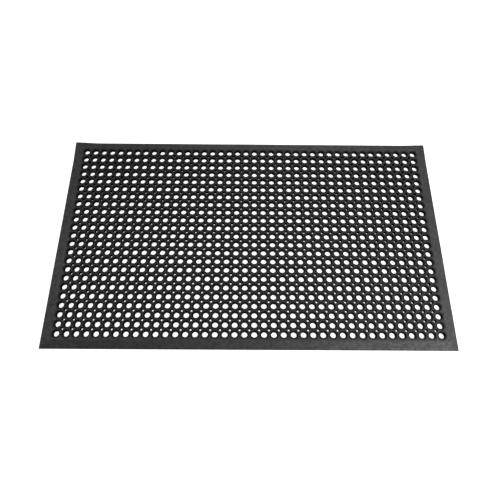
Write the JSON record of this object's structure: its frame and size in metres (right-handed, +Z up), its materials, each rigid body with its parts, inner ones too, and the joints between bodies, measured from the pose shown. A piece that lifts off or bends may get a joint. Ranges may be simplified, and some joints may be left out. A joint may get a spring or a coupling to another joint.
{
  "type": "anti fatigue mat",
  "caption": "Rectangular black rubber standing mat with a perforated drainage tread and a sloping ramp edge all round.",
  "frame": {"origin": "centre of the underside, on the floor", "axes": "+X along the mat's length, to the right seen from the front; +Y to the rear; +Z up, out of the standing surface"},
  "size_m": [1.518, 0.9, 0.0127],
  "materials": {
    "black_rubber": "matt moulded rubber with a fine grain and a soft sheen"
  },
  "bodies": {
    "root": {"tread_left": "black_rubber", "tread_centre_left": "black_rubber", "tread_centre": "black_rubber", "tread_centre_right": "black_rubber", "tread_right": "black_rubber", "ramp_front": "black_rubber", "ramp_right": "black_rubber", "ramp_rear": "black_rubber", "ramp_left": "black_rubber"}
  },
  "joints": []
}
